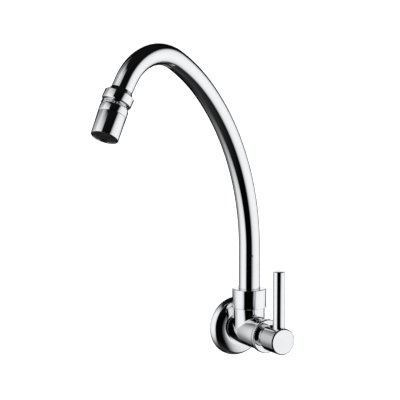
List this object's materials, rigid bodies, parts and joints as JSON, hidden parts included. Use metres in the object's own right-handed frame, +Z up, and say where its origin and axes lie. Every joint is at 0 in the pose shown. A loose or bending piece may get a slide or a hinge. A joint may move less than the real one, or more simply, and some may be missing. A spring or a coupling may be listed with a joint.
{
  "type": "wall faucet",
  "caption": "Wall-mounted kitchen faucet with a swivel gooseneck spout, a quarter-turn lever and a ball-jointed aerator.",
  "frame": {"origin": "where the axis of the barrel meets the wall plane, at the back rim of the wall flange", "axes": "+Y into the wall along the inlet, -Y to the user, +Z up along the spout's riser, +X to the right of a user facing the wall"},
  "size_m": [0.2147, 0.1069, 0.2971],
  "materials": {
    "chrome_plate": "polished chromium plate on brass",
    "turned_brass": "turned brass",
    "ceramic": "lapped alumina",
    "black_rubber": "moulded nitrile rubber",
    "fibre": "pressed fibre",
    "acetal": "turned acetal",
    "stainless_steel": "stainless steel",
    "black_acetal": "moulded black acetal"
  },
  "bodies": {
    "faucet": {"valve_body": "chrome_plate", "wall_flange": "chrome_plate", "headwork_bush": "turned_brass", "headwork_gasket": "fibre", "seat_seal": "black_rubber", "fixed_disc": "ceramic", "bonnet_ring": "chrome_plate", "collar_nut": "chrome_plate", "thrust_washer": "acetal", "split_ring": "acetal"},
    "handle": {"spindle": "turned_brass", "moving_disc": "ceramic", "stem_oring_inner": "black_rubber", "stem_oring_outer": "black_rubber", "stem_clip": "stainless_steel", "handle_hub": "chrome_plate", "lever_rod": "chrome_plate", "grub_screw": "stainless_steel"},
    "spout": {"spout_tube": "chrome_plate", "spout_foot": "turned_brass", "foot_oring_lower": "black_rubber", "foot_oring_upper": "black_rubber", "tip_collar": "chrome_plate", "tip_washer": "black_rubber", "lock_ring": "chrome_plate"},
    "slip_ring": {"ball_seat": "acetal"},
    "aerator": {"swivel_ball": "chrome_plate", "aerator_ring": "chrome_plate", "aerator_washer": "black_rubber", "aerator_sleeve": "chrome_plate", "flow_disc": "stainless_steel", "aerator_insert": "black_acetal"}
  },
  "joints": [
    {"name": "spout_swivel", "type": "hinge", "parent": "faucet", "child": "spout", "pos_m": [0, -0.0245, 0.05], "axis": [0, 0, 1], "range_deg": [-15.8, 164.2]},
    {"name": "handle_turn", "type": "hinge", "parent": "faucet", "child": "handle", "pos_m": [0, -0.07495, 0], "axis": [0, -1, 0], "range_deg": [0, 90]},
    {"name": "ball_turn", "type": "hinge", "parent": "spout", "child": "slip_ring", "pos_m": [-0.16063, -0.06995, 0.22353], "axis": [-0.5339, -0.1511, -0.832], "continuous": true},
    {"name": "ball_tilt", "type": "hinge", "parent": "slip_ring", "child": "aerator", "pos_m": [-0.16063, -0.06995, 0.22353], "axis": [-0.8005, -0.2265, 0.5548], "range_deg": [-22.5, 7.5]}
  ]
}
